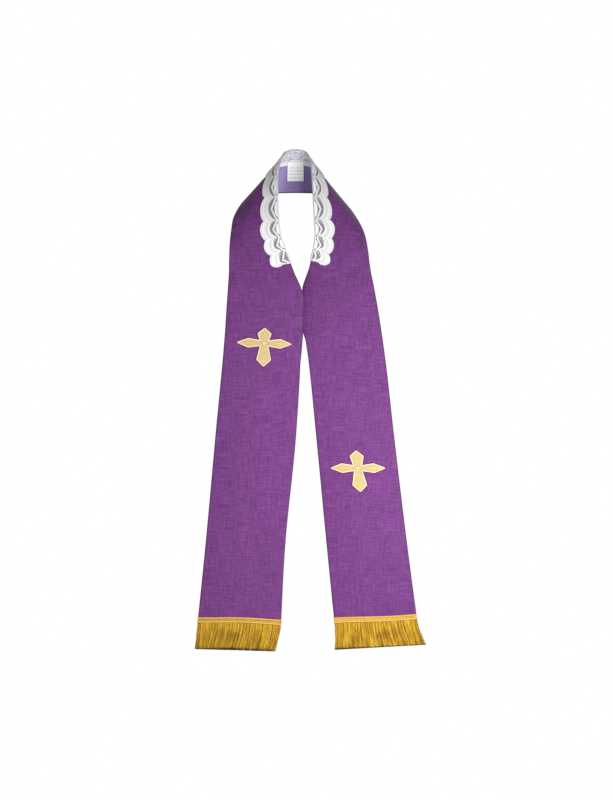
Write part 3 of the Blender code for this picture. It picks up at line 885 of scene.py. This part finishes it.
def makeFringeMaterial():
    material, tree, shader, uv = startMaterial("fringeThread", 0.34, Metallic=0.6)
    twist = useGroup(tree, twistGroup, {"Thread": uv, "Pitch": 420.0, "Slant": 1.2})
    locks = streakNoise(tree, uv, (9.0, 330.0, 1.0), 2.0)
    glow = streakNoise(tree, uv, (30.0, 34.0, 1.0), 1.0)  # broad lit patches
    mixed = calc(tree, "ADD", locks, calc(tree, "MULTIPLY", twist.outputs["Shade"], 0.25))
    patches = calc(tree, "MULTIPLY", calc(tree, "SUBTRACT", glow, 0.5), 0.4)
    shade = mapped(tree, calc(tree, "ADD", mixed, patches), 0.42, 0.86)
    gold = blendColour(tree, shade, fringeLook["dark"], fringeLook["light"])
    tipped = mapped(tree, splitAxes(tree, uv)[0], fringeLook["tipFrom"], fringeLook["tipFull"])
    tree.links.new(blendColour(tree, tipped, gold, fringeLook["tip"]), shader.inputs["Base Color"])
    addBump(tree, shader, twist.outputs["Height"], 0.0002, 0.5)
    return material


def braidWave(side, x):
    wide = hemWidth(side)
    if side == "left":
        return 1.5 * np.sin(x / wide * 2 * math.pi * 0.75 - 0.6)
    return 0.9 * np.sin(x / wide * 2 * math.pi * 0.8 + 1.2)


def makeBraid(side):
    bm, uvLayer = startMesh()
    wide, pitch, ply = hemWidth(side), braidLook["pitch"], braidLook["ply"]
    x = np.linspace(-0.8, wide + 0.8, int(wide / pitch * 9))
    for y in (2.6, braidLook["tall"] - 1.6):
        for start in (0.0, math.pi):
            turn = 2 * math.pi * x / pitch + start
            path = np.column_stack((x, y + braidWave(side, x) + ply * np.cos(turn),
                                    braidLook["high"] + ply * np.sin(turn)))
            radii = np.full(len(x), braidLook["strand"])
            radii[0] = radii[-1] = 0.0
            layTube(bm, uvLayer, path, radii, 6, 0)

    def ribs(u, v):
        across = -0.5 + (wide + 1.0) * u
        y = 1.0 + (braidLook["tall"] - 2.0) * v
        rib = across / braidLook["rib"] + np.abs(v - 0.5) * 1.6
        high = 1.75 + 0.45 * np.abs(np.sin(math.pi * rib))
        return np.column_stack((across, y + braidWave(side, across), high))

    layGrid(bm, uvLayer, 400, 8, ribs, 1)
    return finishMesh(bm, "braid_" + side + "_header", drapeByHem, side,
                      [braidCord, braidMiddle], ["braid_" + side])


fringeThread = makeFringeMaterial()


def fringeSway(side, x):  # groups of strands lean together
    if side == "left":
        return (-2.5 + x * 0.030 + 4.5 * np.sin(x / 50.0) ** 2 + 1.9 * np.sin(x / 17.0 + 1.0)
                + 1.0 * np.sin(x / 7.3))
    return -5.0 + x * 0.040 + 1.8 * np.sin(x / 19.0 + 2.2) + 1.0 * np.sin(x / 8.1 + 0.5)


def makeFringe(side):
    bm, uvLayer = startMesh()
    wide = hemWidth(side)
    count, layers, drop = fringeLook["strands"], fringeLook["layers"], fringeLook["drop"]
    down = np.linspace(0, 1, 9)
    for layer in range(layers):
        for k in range(count):
            x = (k + 0.5 + draw.uniform(-0.35, 0.35)) / count * (wide - 1.0) + 0.5
            length = drop + draw.uniform(-1.2, 1.0)
            sway = fringeSway(side, np.array(x + 6.0 * layer)) + draw.normal(0, 0.6)
            wobble = (draw.uniform(0.15, 0.6)
                      * np.sin(down * draw.uniform(5, 11) + draw.uniform(0, 6.3)))
            high = (layer - 1.5) * fringeLook["apart"] + draw.uniform(-0.25, 0.25) + 0.5
            across = x + sway * down ** 1.6 + wobble * down
            y = 2.0 + braidWave(side, x) * (1 - down) - length * down - 2.0 * down
            path = np.column_stack((across, y, high + 0.5 * np.sin(down * 3 + x)))
            radii = fringeLook["radius"] * np.interp(down, [0, 0.9, 1.0], [1.0, 1.0, 0.8])
            layTube(bm, uvLayer, path, radii, 5, uvFrom=x)
    return finishMesh(bm, "fringe_" + side + "_strands", drapeByHem, side, [fringeThread],
                      ["fringe_" + side])


for side in ("left", "right"):
    makeBraid(side)
    makeFringe(side)
print("braid and fringe made")

# care label
labelLook = {"wide": 32.0, "tall": 37.0, "drop": 22.5, "thick": 0.25,
             "paper": (0.95, 0.95, 0.93, 1), "mark": (0.30, 0.31, 0.28, 1),
             "rows": (0.31, 0.47, 0.64, 0.83), "rowHalf": 0.026}


def makeLabelMaterial():
    material, tree, shader, uv = startMaterial("labelTape", 0.5, Specular_IOR_Level=0.4)
    x, y, _ = splitAxes(tree, uv)
    down = calc(tree, "MULTIPLY", y, 10.0)

    def within(value, middle, half):
        off = calc(tree, "ABSOLUTE", calc(tree, "SUBTRACT", value, middle))
        return calc(tree, "LESS_THAN", off, half)

    rows = 0.0
    for row in labelLook["rows"]:
        rows = calc(tree, "MAXIMUM", rows, within(down, row, labelLook["rowHalf"]))
    broken = calc(tree, "GREATER_THAN", streakNoise(tree, uv, (210.0, 90.0, 1.0), 1.0), 0.44)
    inset = calc(tree, "MULTIPLY", within(x, 0.05, 0.040), 0.6)
    mark = calc(tree, "MULTIPLY", calc(tree, "MULTIPLY", rows, broken), inset)
    colour = blendColour(tree, mark, labelLook["paper"], labelLook["mark"])
    tree.links.new(colour, shader.inputs["Base Color"])
    addBump(tree, shader, streakNoise(tree, uv, (900.0, 900.0, 1.0)), 0.0001, 0.4)
    return material


def makeLabel():
    bm, uvLayer = startMesh()

    def tape(u, v):
        x = (u - 0.5) * labelLook["wide"]
        lift = -3.05 - 0.5 * np.sin(math.pi * v) * (0.4 + 0.6 * u) - 0.5 * v ** 3
        return np.column_stack((x, -labelLook["drop"] - labelLook["tall"] * v, lift))

    layGrid(bm, uvLayer, 24, 28, tape, 0, lambda u, v: np.stack((u * 100, v * 100), axis=-1))
    piece = finishMesh(bm, "label_tape", drapeByCut, None, [makeLabelMaterial()],
                       ["care_label"])
    turnOutwards(piece, -1)
    thicken(piece, labelLook["thick"])
    return piece


label = makeLabel()
print("label made")

# stage, light and camera
stageLook = {"floor": -1450.0, "size": 3000.0, "pale": (0.86, 0.86, 0.86, 1),
             "airLit": 0.35, "airSeen": 1.0}
bm = bmesh.new()
bmesh.ops.create_grid(bm, x_segments=1, y_segments=1, size=stageLook["size"] / 2 * mm)
for vert in bm.verts:
    vert.co.z = stageLook["floor"] * mm
floorMesh = bpy.data.meshes.new("floor")
bm.to_mesh(floorMesh)
bm.free()
floorMesh.materials.append(makePlain("paleFloor", 0.9, stageLook["pale"]))
floor = bpy.data.objects.new("floor", floorMesh)
bpy.context.scene.collection.objects.link(floor)

world = bpy.data.worlds.new("studio")
bpy.context.scene.world = world
world.use_nodes = True
air = world.node_tree
background = air.nodes["Background"]
seen = addNode(air, "ShaderNodeLightPath").outputs["Is Camera Ray"]
strength = mapped(air, seen, 0.0, 1.0, stageLook["airLit"], stageLook["airSeen"])
air.links.new(strength, background.inputs["Strength"])
background.inputs["Color"].default_value = (1, 1, 1, 1)


def softLight(name, place, aim, size, power):  # metres and watts
    light = bpy.data.lights.new(name, "AREA")
    light.size = size
    light.energy = power
    lamp = bpy.data.objects.new(name, light)
    lamp.location = place
    lamp.rotation_euler = (Vector(aim) - Vector(place)).to_track_quat("-Z", "Y").to_euler()
    bpy.context.scene.collection.objects.link(lamp)


softLight("keyLight", (0.42, -0.95, -0.58), (0.03, -0.1, -0.57), 0.42, 11.0)
softLight("fillLight", (-1.8, -3.2, 0.2), (0.0, 0.0, -0.5), 2.5, 19)

cameraLook = {"tall": 1520.0, "far": 24.0, "sensor": 24.0, "x": 0.0209, "z": -0.4769, "front": 0.09}
lens = bpy.data.cameras.new("camera")
camera = bpy.data.objects.new("camera", lens)
lens.sensor_fit = "VERTICAL"
lens.sensor_height = cameraLook["sensor"]
lens.lens = cameraLook["sensor"] * cameraLook["far"] / (cameraLook["tall"] * mm)
camera.location = (cameraLook["x"], -cameraLook["far"] - cameraLook["front"], cameraLook["z"])
camera.rotation_euler = (math.pi / 2, 0, 0)
lens.clip_end = 50
bpy.context.scene.collection.objects.link(camera)
bpy.context.scene.camera = camera
bpy.context.scene.view_settings.view_transform = "Standard"
print("stage set")
